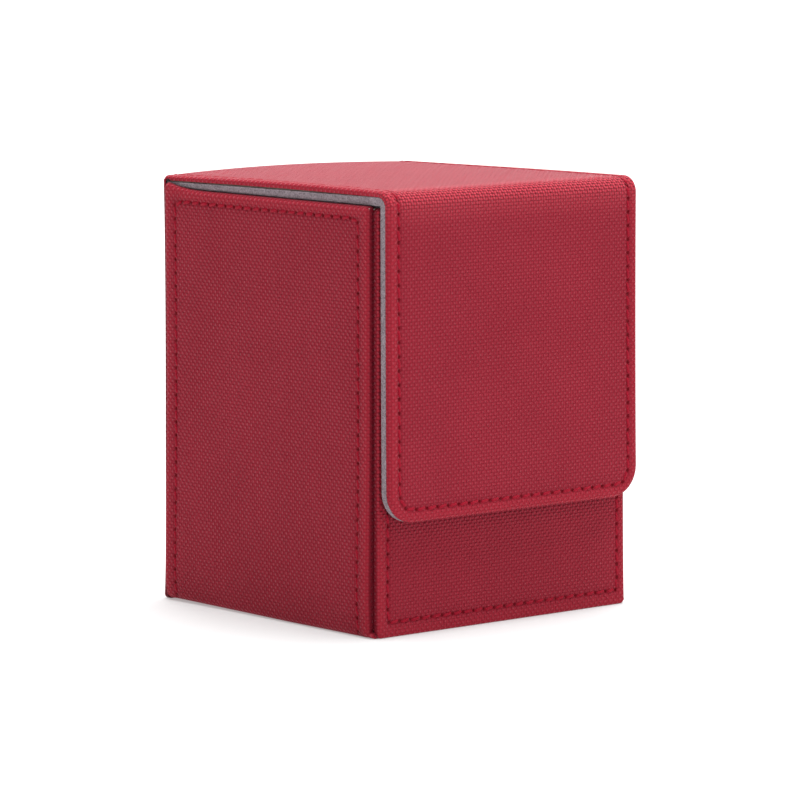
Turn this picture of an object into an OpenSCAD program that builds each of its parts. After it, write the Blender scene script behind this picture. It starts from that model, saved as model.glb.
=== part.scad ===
// Card deck box: a board-stiffened leatherette case whose lid is hinged along the top of the back,
// with a flap folded down over the front and held shut by magnets.
// X runs across the box, Y from front to back, Z up. The origin is the centre of the base.

/* [Body] */
// Width over the outer faces of the two side panels
body_w = 78.8; // [76:0.2:100]
// Depth from the front panel's face to the back panel's face
body_d = 77.7; // [60:0.1:110]
// Height of the walls
wall_h = 97.9; // [90:0.1:115]
// Step from a side panel's face in to the edges of the front, back, lid and flap
edge_step = 1.2; // [1.1:0.05:1.4]
// Radius of the bend between each side and the base
base_bend_r = 1.5; // [1.4:0.1:2]
// Rise of the side panels' top edge beside the lid hinge
ear_rise = 1.8; // [0.5:0.1:2.4]
// Length of that rise along the edge
ear_len = 18; // [4:0.5:20]

/* [Layers] */
// Thickness of the leatherette
skin_t = 0.4; // [0.3:0.05:0.5]
// Thickness of a side panel, leatherette and board together
side_t = 1.5; // [1.5:0.05:1.8]
// Thickness of the front panel
front_t = 1.65; // [1.5:0.05:1.9]
// Thickness of the back panel
back_t = 1.9; // [1.5:0.05:2.2]
// Thickness of the base panel
base_t = 1.3; // [1.2:0.05:1.4]
// Thickness of the inner tray's board
tray_t = 1.6; // [1.2:0.1:2]
// Thickness of the microfibre lining
lining_t = 0.8; // [0.5:0.1:1]
// Depth of the rim of the tray below the top of the walls
rim_drop = 0.5; // [0.4:0.1:2]

/* [Lid and flap] */
// Thickness of the outer layer of the lid and flap, leatherette over board
cover_t = 1.4; // [1.2:0.05:1.6]
// Thickness of the inner layer of the lid and flap, microfibre over board
inner_t = 2; // [1.8:0.05:2.1]
// Radius of the outer face round the fold between lid and flap
fold_r = 3.75; // [3.75:0.05:5]
// Gap between the closed lid and the walls under it
lid_gap = 0.1; // [0.05:0.05:0.4]
// Gap between the closed flap and the front panel
flap_gap = 0.4; // [0.3:0.05:1]
// Height of the flap's lower edge
flap_low = 26.5; // [15:0.5:45]
// Radius of the flap's lower corners
flap_corner_r = 7; // [5:0.5:12]
// Step from the back panel's face in to the back end of the lid's boards
lid_back_step = 1; // [0.8:0.1:2]

/* [Magnets] */
// Diameter of the disc magnets
magnet_d = 10; // [6:0.5:14]
// Thickness of the disc magnets
magnet_t = 1; // [0.6:0.1:1]
// Distance between the two magnets of a pair
magnet_pitch = 40; // [20:1:50]
// Height of the magnets
magnet_z = 40; // [36:1:60]

/* [Seams] */
// Distance of a seam from a panel's edge
seam_inset = 2.9; // [2.5:0.1:5]
// Distance of the side panels' upright seams from their edges
side_seam_inset = 4; // [2.5:0.1:6]
// Width of the sewn thread
thread_w = 0.5; // [0.3:0.05:0.8]

/* [Hidden] */

$fn = 64;
eps = 0.01;                                        // overshoot of a cut past a face
thread_t = skin_t / 2;                             // depth of a thread in its channel
magnet_play = 0.1;                                 // radial play of a magnet in its pocket
ear_steps = 10;                                    // straight steps along the ear's curve
ear_t = 1;                                         // thickness of the ear, clear of the lid

strip_w = body_w - 2 * edge_step;                  // width of front, back, lid and flap
total_d = body_d + flap_gap + inner_t + cover_t;   // depth with the flap closed
total_h = wall_h + lid_gap + inner_t + cover_t;    // height with the lid closed

side_x = body_w / 2;                               // outer face of the right side panel
strip_x = strip_w / 2;                             // right edge of the strip-wide panels
tray_x = side_x - side_t;                          // outer face of the tray's right wall
room_x = tray_x - tray_t;                          // inner face of that wall
back_y = total_d / 2;                              // outer face of the back panel
front_y = back_y - body_d;                         // outer face of the front panel
flap_y = -total_d / 2;                             // outer face of the flap
tray_front_y = front_y + front_t;                  // outer face of the tray's front wall
tray_back_y = back_y - back_t;                     // outer face of the tray's back wall
rim_z = wall_h - rim_drop;                         // top of the tray
floor_z = base_t + tray_t;                         // top of the tray's floor board
flap_inner_y = front_y - flap_gap;                 // inner face of the flap
flap_layer_y = flap_y + cover_t;                   // face between the flap's two layers
lid_layer_z = total_h - cover_t;                   // face between the lid's two layers
lid_low_z = wall_h + lid_gap;                      // underside of the lid
fold_y = flap_y + fold_r;                          // centre of the fold, and the lid's front end
fold_z = total_h - fold_r;                         // centre of the fold, and the flap's top end
lid_back_y = back_y - lid_back_step;               // back end of the lid's boards

RED = [0.62, 0.10, 0.13];
RED_THREAD = [0.68, 0.05, 0.10];
GREY = [0.55, 0.56, 0.60];
BOARD = [0.62, 0.58, 0.52];
STEEL = [0.75, 0.76, 0.78];

// Solid block between two opposite corners.
module block(low, high) {
    translate(low) cube(high - low);
}

// A profile drawn in X and Z, drawn out along Y from y0 to y1.
module along_y(y0, y1) {
    translate([0, y1, 0]) rotate([90, 0, 0]) linear_extrude(y1 - y0) children();
}

// A profile drawn in Y and Z, drawn out along X from x0 to x1.
module along_x(x0, x1) {
    translate([x0, 0, 0]) rotate([90, 0, 90]) linear_extrude(x1 - x0) children();
}

// Rectangle from one corner to the other.
module rect(low, high) {
    translate(low) square(high - low);
}

// Rectangle centred on X = 0 whose lower corners are round.
module round_foot(half_w, low, high, r) {
    union() {
        rect([-half_w, low + r], [half_w, high]);
        rect([-half_w + r, low], [half_w - r, high]);
        for (side = [-1, 1]) translate([side * (half_w - r), low + r]) circle(r);
    }
}

// Outline of a seam: left, bottom and right lines that run out through the top.
module seam_outline(half_w, low, high, r) {
    difference() {
        round_foot(half_w + thread_w / 2, low - thread_w / 2, high, r + thread_w / 2);
        round_foot(half_w - thread_w / 2, low + thread_w / 2, high + eps, r - thread_w / 2);
    }
}

// Top edge of a side panel's ear at a distance in front of the panel's back edge.
function ear_z(back) = ear_rise * pow(max(0, 1 - back / ear_len), 3);

// Ear of a side panel, in Y and Z.
module ear_profile(back_edge) {
    curve = [for (i = [0 : ear_steps])
        let (back = ear_len * i / ear_steps) [back_edge - back, wall_h + ear_z(back)]];
    polygon(concat(curve, [[back_edge - ear_len, wall_h - skin_t], [back_edge, wall_h - skin_t]]));
}

// Seam of a side panel, in Y and Z: an arch open at the bottom.
module side_seam_outline(low) {
    front = tray_front_y + side_seam_inset;
    back = tray_back_y - side_seam_inset;
    top = wall_h - seam_inset;
    difference() {
        rect([front - thread_w / 2, low], [back + thread_w / 2, top + thread_w / 2]);
        rect([front + thread_w / 2, low - eps], [back - thread_w / 2, top - thread_w / 2]);
    }
}

// Panel that faces front or back: a tray of leatherette, open on the side of the box.
module face_skin(outer_y, inner_y, low, high) {
    mid_y = outer_y + sign(inner_y - outer_y) * skin_t;
    difference() {
        block([-strip_x, min(outer_y, inner_y), low], [strip_x, max(outer_y, inner_y), high]);
        block([-strip_x + skin_t, min(mid_y, inner_y), low + skin_t],
              [strip_x - skin_t, max(mid_y, inner_y), high - skin_t]);
    }
}

// Pair of discs for the magnets or their pockets, from y0 to y1.
module disc_pair(y0, y1, r) {
    for (side = [-1, 1])
        translate([side * magnet_pitch / 2, y1, magnet_z]) rotate([90, 0, 0]) cylinder(r = r, h = y1 - y0);
}

module base_skin() {
    bend_x = side_x - base_bend_r;
    color(RED) difference() {
        along_y(front_y, tray_back_y) difference() {
            intersection() {
                round_foot(side_x, 0, 2 * base_bend_r, base_bend_r);
                rect([-side_x, 0], [side_x, base_bend_r]);
            }
            rect([-tray_x, base_t], [tray_x, base_bend_r + eps]);
        }
        block([-bend_x, front_y + skin_t, skin_t], [bend_x, tray_back_y - skin_t, base_t + eps]);
        for (side = [-1, 1])
            translate([side * (side_x + tray_x) / 2 - side_t / 2 - eps, front_y - eps, base_t])
                cube([side_t + 2 * eps, front_t + eps, base_bend_r]);
    }
}

module base_board() {
    bend_x = side_x - base_bend_r;
    color(BOARD) block([-bend_x, front_y + skin_t, skin_t], [bend_x, tray_back_y - skin_t, base_t]);
}

module left_skin() {
    outer = -side_x;
    color(RED) difference() {
        union() {
            block([outer, tray_front_y, base_bend_r], [-tray_x, tray_back_y, wall_h]);
            along_x(outer, outer + ear_t) ear_profile(tray_back_y);
        }
        block([outer + skin_t, tray_front_y + skin_t, base_bend_r - eps],
              [-tray_x + eps, tray_back_y - skin_t, wall_h - skin_t]);
        along_x(outer - eps, outer + thread_t) side_seam_outline(base_bend_r - eps);
    }
}

module left_board() {
    color(BOARD) block([-side_x + skin_t, tray_front_y + skin_t, base_bend_r],
                       [-tray_x, tray_back_y - skin_t, wall_h - skin_t]);
}

module left_seam() {
    color(RED_THREAD) along_x(-side_x, -side_x + thread_t) side_seam_outline(base_bend_r);
}

module right_skin() {
    mirror([1, 0, 0]) left_skin();
}

module right_board() {
    mirror([1, 0, 0]) left_board();
}

module right_seam() {
    mirror([1, 0, 0]) left_seam();
}

module front_skin() {
    color(RED) difference() {
        face_skin(front_y, tray_front_y, base_t, wall_h - flap_gap);
        along_y(front_y - eps, front_y + thread_t) front_seam_outline(eps);
    }
}

// Seam of the front panel; past is how far it runs past the panel's top.
module front_seam_outline(past) {
    seam_outline(strip_x - seam_inset, base_t + seam_inset - thread_w, wall_h - flap_gap + past, thread_w);
}

module front_seam() {
    color(RED_THREAD) along_y(front_y, front_y + thread_t) front_seam_outline(0);
}

module front_board() {
    pocket_y = tray_front_y - magnet_t;
    color(BOARD) difference() {
        block([-strip_x + skin_t, front_y + skin_t, base_t + skin_t],
              [strip_x - skin_t, tray_front_y, wall_h - flap_gap - skin_t]);
        disc_pair(pocket_y, tray_front_y + eps, magnet_d / 2 + magnet_play);
    }
}

module front_magnets() {
    color(STEEL) disc_pair(tray_front_y - magnet_t, tray_front_y, magnet_d / 2);
}

// Seam of the back panel; past is how far it runs past the panel's top.
module back_seam_outline(past) {
    seam_outline(strip_x - seam_inset, seam_inset, wall_h + past, thread_w);
}

module back_skin() {
    color(RED) difference() {
        face_skin(back_y, tray_back_y, 0, wall_h);
        along_y(back_y - thread_t, back_y + eps) back_seam_outline(eps);
    }
}

module back_seam() {
    color(RED_THREAD) along_y(back_y - thread_t, back_y) back_seam_outline(0);
}

module back_board() {
    color(BOARD) block([-strip_x + skin_t, tray_back_y, skin_t],
                       [strip_x - skin_t, back_y - skin_t, wall_h - skin_t]);
}

module tray_floor() {
    color(BOARD) block([-tray_x, tray_front_y, base_t], [tray_x, tray_back_y, floor_z]);
}

module tray_front() {
    color(BOARD) block([-tray_x, tray_front_y, floor_z], [tray_x, tray_front_y + tray_t, rim_z]);
}

module tray_back() {
    color(BOARD) block([-tray_x, tray_back_y - tray_t, floor_z], [tray_x, tray_back_y, rim_z]);
}

module tray_left() {
    color(BOARD) block([-tray_x, tray_front_y + tray_t, floor_z], [-room_x, tray_back_y - tray_t, rim_z]);
}

module tray_right() {
    mirror([1, 0, 0]) tray_left();
}

module floor_lining() {
    color(GREY) block([-room_x, tray_front_y + tray_t, floor_z],
                      [room_x, tray_back_y - tray_t, floor_z + lining_t]);
}

module front_lining() {
    face = tray_front_y + tray_t;
    color(GREY) block([-room_x, face, floor_z + lining_t], [room_x, face + lining_t, rim_z]);
}

module back_lining() {
    face = tray_back_y - tray_t;
    color(GREY) block([-room_x, face - lining_t, floor_z + lining_t], [room_x, face, rim_z]);
}

module left_lining() {
    color(GREY) block([-room_x, tray_front_y + tray_t + lining_t, floor_z + lining_t],
                      [-room_x + lining_t, tray_back_y - tray_t - lining_t, rim_z]);
}

module right_lining() {
    mirror([1, 0, 0]) left_lining();
}

// Bare strip of leatherette between the back panel and the lid. It folds along both long edges,
// as the spine of a book does.
module hinge_spine() {
    color(RED) block([-strip_x, back_y - skin_t, wall_h], [strip_x, back_y, total_h - skin_t]);
}

module lid_skin() {
    color(RED) difference() {
        union() {
            block([-strip_x, fold_y, lid_layer_z], [strip_x, lid_back_y, total_h]);
            block([-strip_x, lid_back_y - eps, total_h - skin_t], [strip_x, back_y, total_h]);
        }
        block([-strip_x + skin_t, fold_y - eps, lid_layer_z - eps],
              [strip_x - skin_t, lid_back_y + eps, total_h - skin_t]);
        lid_seam_lines(fold_y - eps, back_y + eps, total_h + eps);
    }
}

// The two seams along the sides of the lid.
module lid_seam_lines(y0, y1, top) {
    for (side = [-1, 1])
        translate([side * (strip_x - seam_inset) - thread_w / 2, y0, total_h - thread_t])
            cube([thread_w, y1 - y0, top - total_h + thread_t]);
}

module lid_seam() {
    color(RED_THREAD) lid_seam_lines(fold_y, back_y, total_h);
}

module lid_board() {
    color(BOARD) block([-strip_x + skin_t, fold_y, lid_layer_z],
                       [strip_x - skin_t, lid_back_y, total_h - skin_t]);
}

// Microfibre turned up round the edges of the lid's inner board.
module lid_lining() {
    color(GREY) difference() {
        block([-strip_x, fold_y, lid_low_z], [strip_x, lid_back_y, lid_layer_z]);
        block([-strip_x + lining_t, fold_y - eps, lid_low_z + lining_t],
              [strip_x - lining_t, lid_back_y - lining_t, lid_layer_z + eps]);
    }
}

module lid_inner_board() {
    color(BOARD) block([-strip_x + lining_t, fold_y, lid_low_z + lining_t],
                       [strip_x - lining_t, lid_back_y - lining_t, lid_layer_z]);
}

// Quarter of a tube round the fold, between two radii.
module fold_quarter(r_in, r_out) {
    along_x(-strip_x, strip_x) translate([fold_y, fold_z]) intersection() {
        difference() {
            circle(r_out);
            circle(r_in);
        }
        rect([-2 * r_out, 0], [0, 2 * r_out]);
    }
}

module flap_fold_skin() {
    color(RED) fold_quarter(fold_r - cover_t, fold_r);
}

module flap_fold_lining() {
    color(GREY) fold_quarter(fold_r - cover_t - inner_t, fold_r - cover_t);
}

module flap_skin() {
    color(RED) difference() {
        along_y(flap_y, flap_layer_y) round_foot(strip_x, flap_low, fold_z, flap_corner_r);
        along_y(flap_y + skin_t, flap_layer_y + eps)
            round_foot(strip_x - skin_t, flap_low + skin_t, fold_z + eps, flap_corner_r - skin_t);
        along_y(flap_y - eps, flap_y + thread_t) flap_seam_outline(eps);
    }
}

// Seam of the flap; past is how far it runs past the fold.
module flap_seam_outline(past) {
    seam_outline(strip_x - seam_inset, flap_low + seam_inset, fold_z + past, flap_corner_r - seam_inset);
}

module flap_seam() {
    color(RED_THREAD) along_y(flap_y, flap_y + thread_t) flap_seam_outline(0);
}

module flap_board() {
    color(BOARD) along_y(flap_y + skin_t, flap_layer_y)
        round_foot(strip_x - skin_t, flap_low + skin_t, fold_z, flap_corner_r - skin_t);
}

// Microfibre turned up round the edges of the flap's inner board.
module flap_lining() {
    color(GREY) difference() {
        along_y(flap_layer_y, flap_inner_y) round_foot(strip_x, flap_low, fold_z, flap_corner_r);
        along_y(flap_layer_y - eps, flap_inner_y - lining_t)
            round_foot(strip_x - lining_t, flap_low + lining_t, fold_z + eps, flap_corner_r - lining_t);
    }
}

module flap_inner_board() {
    color(BOARD) difference() {
        along_y(flap_layer_y, flap_inner_y - lining_t)
            round_foot(strip_x - lining_t, flap_low + lining_t, fold_z, flap_corner_r - lining_t);
        disc_pair(flap_layer_y - eps, flap_layer_y + magnet_t, magnet_d / 2 + magnet_play);
    }
}

module flap_magnets() {
    color(STEEL) disc_pair(flap_layer_y, flap_layer_y + magnet_t, magnet_d / 2);
}

base_skin();
base_board();
left_skin();
left_board();
right_skin();
right_board();
front_skin();
front_board();
back_skin();
back_board();
tray_floor();
tray_front();
tray_back();
tray_left();
tray_right();
floor_lining();
front_lining();
back_lining();
left_lining();
right_lining();
front_magnets();
front_seam();
back_seam();
left_seam();
right_seam();
hinge_spine();
lid_skin();
lid_board();
lid_lining();
lid_inner_board();
lid_seam();
flap_fold_skin();
flap_fold_lining();
flap_skin();
flap_board();
flap_lining();
flap_inner_board();
flap_magnets();
flap_seam();
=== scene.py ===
"""Card deck box: the looks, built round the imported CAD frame.

Every covering is a sheet drawn flat, in (u, v) millimetres, and laid on the box by a function of u, v and
the height over the surface. The same flat coordinates carry the seams, the needle holes and the grain.
"""

import math

import bmesh
import bpy
import numpy as np
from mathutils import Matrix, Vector
from mathutils.geometry import delaunay_2d_cdt


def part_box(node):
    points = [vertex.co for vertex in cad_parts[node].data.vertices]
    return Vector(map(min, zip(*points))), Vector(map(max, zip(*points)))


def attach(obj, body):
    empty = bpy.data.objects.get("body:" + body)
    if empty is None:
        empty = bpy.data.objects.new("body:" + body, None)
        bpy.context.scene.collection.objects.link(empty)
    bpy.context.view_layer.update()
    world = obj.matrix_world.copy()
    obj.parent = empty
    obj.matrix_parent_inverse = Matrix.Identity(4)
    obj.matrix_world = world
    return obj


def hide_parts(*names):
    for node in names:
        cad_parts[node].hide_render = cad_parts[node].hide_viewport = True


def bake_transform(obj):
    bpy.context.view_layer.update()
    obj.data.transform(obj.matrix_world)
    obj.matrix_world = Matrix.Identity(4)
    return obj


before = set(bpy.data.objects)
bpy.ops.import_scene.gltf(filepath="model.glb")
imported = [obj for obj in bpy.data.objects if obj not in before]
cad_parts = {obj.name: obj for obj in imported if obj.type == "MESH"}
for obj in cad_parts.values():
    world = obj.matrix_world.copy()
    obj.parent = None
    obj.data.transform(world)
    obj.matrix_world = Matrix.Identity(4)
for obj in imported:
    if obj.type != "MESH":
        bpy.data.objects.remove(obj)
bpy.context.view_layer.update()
MM = 0.001


def low(node, axis):
    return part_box(node)[0]["xyz".index(axis)] / MM


def high(node, axis):
    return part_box(node)[1]["xyz".index(axis)] / MM


# ---------------------------------------------------------------- sizes, from the CAD nodes
SIDE_X = high("right_skin", "x")
STRIP_X = high("front_skin", "x")
TRAY_X = high("tray_right", "x")
ROOM_X = high("floor_lining", "x")
ROOM_Y0, ROOM_Y1 = low("floor_lining", "y"), high("floor_lining", "y")
FLOOR_Z = high("floor_lining", "z")
LINING = FLOOR_Z - low("floor_lining", "z")
FRONT_Y, FRONT_INNER = low("front_skin", "y"), high("front_skin", "y")
FRONT_LOW, FRONT_TOP = low("front_skin", "z"), high("front_skin", "z")
SIDE_Y0, SIDE_Y1 = low("left_skin", "y"), high("left_skin", "y")
BEND_R = low("left_skin", "z")
BACK_Y, WALL_Z = high("back_skin", "y"), high("back_skin", "z")
TOP_Z, LID_LAYER, LID_LOW = high("lid_skin", "z"), high("lid_lining", "z"), low("lid_lining", "z")
LID_BACK = high("lid_lining", "y")
FLAP_Y, FLAP_INNER = low("flap_skin", "y"), high("flap_lining", "y")
FLAP_LOW, FOLD_Z = low("flap_skin", "z"), high("flap_skin", "z")
FOLD_Y = low("lid_skin", "y")
FOLD_R = FOLD_Y - FLAP_Y
CREASE_R = FOLD_Y - FLAP_INNER
COVER_T = TOP_Z - LID_LAYER
INNER_T = LID_LAYER - LID_LOW

SKIN = 0.38  # leatherette
FIBRE = 0.5  # microfibre shell
EDGE_R = 0.9  # rounding of leatherette turned over board
CORNER_R = 1.15
FLAP_CORNER = 7.2
GRAIN = 0.77  # pitch of the woven grain
SEAM_IN = 2.9
SIDE_SEAM_IN = 4.0
PITCH = 3.2  # needle holes
TURN_R = 0.9  # rounding over the lid's back edge
TOP_BOW = 0.95  # rise of the cover in the middle of the lid's back edge, over its corners
LID_SAG = 0.73  # drop of the lid towards the hinge
SIDE_BOW = 0.35  # rise of the lid halfway along its sides
FLAP_LEAN = 0.45  # how far the flap's lower edge stands off
FLARE = 0.45  # how far the sides swell out low down
BASE_LIFT = 0.36  # how far the base's left edge stands off the ground at the back
BASE_CLEAR = 0.02  # how far the base's skin stays off the ground
BACK_SPLAY = (0.75, 0.22, 0.35)  # how far the back's two long edges stand out: foot, low down, top
FLAP_SPLAY = (0.3, 0.04)  # how far the flap's right edge stands out: foot, all the way up
STEEP = 1.2  # radians up the bend of the sides, past which the skin can't reach the ground
REAR_FLARE = 0.4  # how far the sides swell out beside the back
RING_GAP = 0.06  # least distance between two rings of a turned edge that stops short
RIM_PAD = 0.1  # swell between a seam and the edge beside it
WAVES = (0.022, 0.02)  # unevenness of the glued leatherette, in its two directions
CHANNEL_DEPTH, CHANNEL_WIDTH = 0.13, 0.62  # groove that a seam presses in
HOLE_DEPTH, HOLE_WIDTH = 0.18, 0.42  # dimple round a needle hole
EDGE_DEPTH, BEND_DEPTH, EAR_DEPTH = 1.48, 1.2, 0.95  # how deep the sides' turned edge goes
EAR_REACH = 0.4  # how far the tray's lining reaches out beside the ears
GRID = 3  # mesh step where a sheet is nearly flat
FINE = 0.25  # mesh step where a joint bends it


# ---------------------------------------------------------------- flat outlines
def unit(v):
    return v / np.linalg.norm(v)


def outline(corners, cuts_u, cuts_v):
    """Points of a closed anticlockwise outline with round corners, and the side that starts at each point.
    Side k runs from corner k, and a point on the arc of corner k has side -1 - k."""
    arcs = []
    count = len(corners)
    for i, (u, v, r) in enumerate(corners):
        p = np.array((u, v), float)
        if r == 0:
            arcs.append([p])
            continue
        a = unit(np.array(corners[i - 1][:2]) - p)
        b = unit(np.array(corners[(i + 1) % count][:2]) - p)
        half = math.acos(np.clip(a @ b, -1, 1)) / 2
        centre = p + unit(a + b) * r / math.sin(half)
        p0 = p + a * r / math.tan(half) - centre
        p1 = p + b * r / math.tan(half) - centre
        start = math.atan2(p0[1], p0[0])
        sweep = (math.atan2(p1[1], p1[0]) - start + math.pi) % (2 * math.pi) - math.pi
        steps = max(4, math.ceil(abs(sweep) * r / 0.5))
        turns = [start + sweep * k / steps for k in range(steps + 1)]
        arcs.append([centre + r * np.array((math.cos(a), math.sin(a))) for a in turns])
    points, sides = [], []
    for i, arc in enumerate(arcs):
        for p in arc[:-1]:
            points.append(p)
            sides.append(-1 - i)
        a, b = arc[-1], arcs[(i + 1) % count][0]
        axis = 0 if abs(b[0] - a[0]) > abs(b[1] - a[1]) else 1
        length = b[axis] - a[axis]
        shares = sorted((c - a[axis]) / length for c in (cuts_u, cuts_v)[axis])
        margin = 0.12 / abs(length) if abs(length) > 0.5 else 1
        for t in [0] + [t for t in shares if margin < t < 1 - margin]:
            points.append(a + (b - a) * t)
            sides.append(i)
    return np.array(points), sides


def inset(points, rim, d):
    """The outline moved in by d along the sides where rim is 1."""
    edge = np.roll(points, -1, 0) - points
    n1 = np.stack([-edge[:, 1], edge[:, 0]], 1) / np.linalg.norm(edge, axis=1)[:, None]
    n0, d1 = np.roll(n1, 1, 0), rim * d
    d0 = np.roll(d1, 1)
    cross = n0[:, 0] * n1[:, 1] - n0[:, 1] * n1[:, 0]
    flat = np.abs(cross) < 1e-4
    safe = np.where(flat, 1, cross)
    x = np.where(flat, n1[:, 0] * d1, (n1[:, 1] * d0 - n0[:, 1] * d1) / safe)
    y = np.where(flat, n1[:, 1] * d1, (n0[:, 0] * d1 - n1[:, 0] * d0) / safe)
    return points + np.stack([x, y], 1)


def inside(points, polygon):
    x, y = points[:, 0], points[:, 1]
    odd = np.zeros(len(points), bool)
    for a, b in zip(polygon, np.roll(polygon, -1, 0)):
        if a[1] != b[1]:
            across = (a[1] > y) != (b[1] > y)
            odd ^= across & (x < a[0] + (y - a[1]) * (b[0] - a[0]) / (b[1] - a[1]))
    return odd


def edge_distance(points, polygon, rim):
    """Distance from each point to the nearest side of the outline that has a rim."""
    best = np.full(len(points), 1e9)
    for a, b, turned in zip(polygon, np.roll(polygon, -1, 0), rim):
        run = b - a
        if turned and run @ run > 1e-9:
            t = np.clip((points - a) @ run / (run @ run), 0, 1)
            best = np.minimum(best, np.linalg.norm(points - a - t[:, None] * run, axis=1))
    return best


def distance(points, targets):
    """Distance from each point to the nearest target."""
    best = np.full(len(points), 1e9)
    batch = 200
    for k in range(0, len(targets), batch):
        gap = points[:, None, :] - targets[None, k:k + batch, :]
        best = np.minimum(best, np.sqrt((gap ** 2).sum(2)).min(1))
    return best


# ---------------------------------------------------------------- seams
CORNER_STEPS = 12
POINTS_PER_STITCH = 10


def seam(corners, pitch=PITCH):
    """Needle holes at an even pitch along an open path with round corners, and the dense path itself."""
    dense = [np.array(corners[0][:2], float)]
    for i in range(1, len(corners) - 1):
        u, v, r = corners[i]
        p = np.array((u, v), float)
        a, b = unit(np.array(corners[i - 1][:2]) - p), unit(np.array(corners[i + 1][:2]) - p)
        for t in np.linspace(0, 1, CORNER_STEPS + 1):
            dense.append(p + a * r * (1 - t) ** 2 + b * r * t ** 2)
    dense.append(np.array(corners[-1][:2], float))
    dense = np.array(dense)
    along = np.concatenate([[0], np.cumsum(np.linalg.norm(np.diff(dense, axis=0), axis=1))])
    count = max(1, round(along[-1] / pitch))

    def at(s):
        return np.stack([np.interp(s, along, dense[:, k]) for k in (0, 1)], 1)

    fine = np.linspace(0, along[-1], count * POINTS_PER_STITCH + 1)
    return at(np.linspace(0, along[-1], count + 1)), at(fine)


ROWS = (-0.95, -0.5, -0.22, 0, 0.22, 0.5, 0.95)  # rows of mesh points along a seam, from side to side
CLEAR_OF_SEAM = 1.35  # nearer than this the grid gives way to a seam's own rows
ROW_MARGIN, GRID_MARGIN = 0.15, 0.25  # how far rows and grid stay from the outline


def seam_points(track):
    """Rows of points beside a seam, so that its channel and holes have a shape."""
    run = np.gradient(track, axis=0)
    side = np.stack([-run[:, 1], run[:, 0]], 1) / np.linalg.norm(run, axis=1)[:, None]
    return np.concatenate([track + side * r for r in ROWS])


def relief(points, seams):
    """Height of the surface at flat points: slow waves, sewn channels and needle holes.
    Also how near a hole and how near a seam each point is."""
    u, v = points[:, 0], points[:, 1]
    h = WAVES[0] * np.sin(u / 11 + 0.7 * np.sin(v / 17))
    h += WAVES[1] * np.sin(v / 13 + 0.9 * np.sin(u / 19 + 1))
    hole, sewn_in = np.zeros(len(points)), np.zeros(len(points))
    for holes, track in seams:
        sewn_in = np.maximum(sewn_in, np.exp(-(distance(points, track) / CHANNEL_WIDTH) ** 2))
        hole = np.maximum(hole, np.exp(-(distance(points, holes) / HOLE_WIDTH) ** 2))
    return h - CHANNEL_DEPTH * sewn_in - HOLE_DEPTH * hole, hole, sewn_in


# ---------------------------------------------------------------- meshes
def make(name, co, faces, flat, attributes, materials, texture_at=None):
    """A mesh in millimetres. Its textures are placed by texture_at if given, else by its own points."""
    mesh = bpy.data.meshes.new(name)
    mesh.from_pydata((co * MM).tolist(), [], [list(map(int, f)) for f in faces])
    layer = mesh.uv_layers.new(name="flat")
    loops = np.zeros(len(mesh.loops), np.int32)
    mesh.loops.foreach_get("vertex_index", loops)
    layer.data.foreach_set("uv", np.asarray(flat, np.float32)[loops].ravel())
    for key, values in attributes.items():
        mesh.attributes.new(key, "FLOAT", "POINT").data.foreach_set("value", np.asarray(values, np.float32))
    rest = mesh.attributes.new("rest", "FLOAT_VECTOR", "POINT")
    rest.data.foreach_set("vector", (co if texture_at is None else texture_at).astype(np.float32).ravel())
    mesh.shade_smooth()
    for m in materials:
        mesh.materials.append(m)
    obj = bpy.data.objects.new(name, mesh)
    bpy.context.scene.collection.objects.link(obj)
    return obj


def turned_edge(radius, depth):
    """Profile of a covering turned over a board's edge: how far in from the outline, and how high."""
    turns = np.linspace(0, math.pi / 2, 6)
    arc = [(radius * (1 - math.sin(a)), -radius * (1 - math.cos(a))) for a in turns]
    return arc + ([(0, -depth)] if depth > radius + 0.05 else [])


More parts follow.
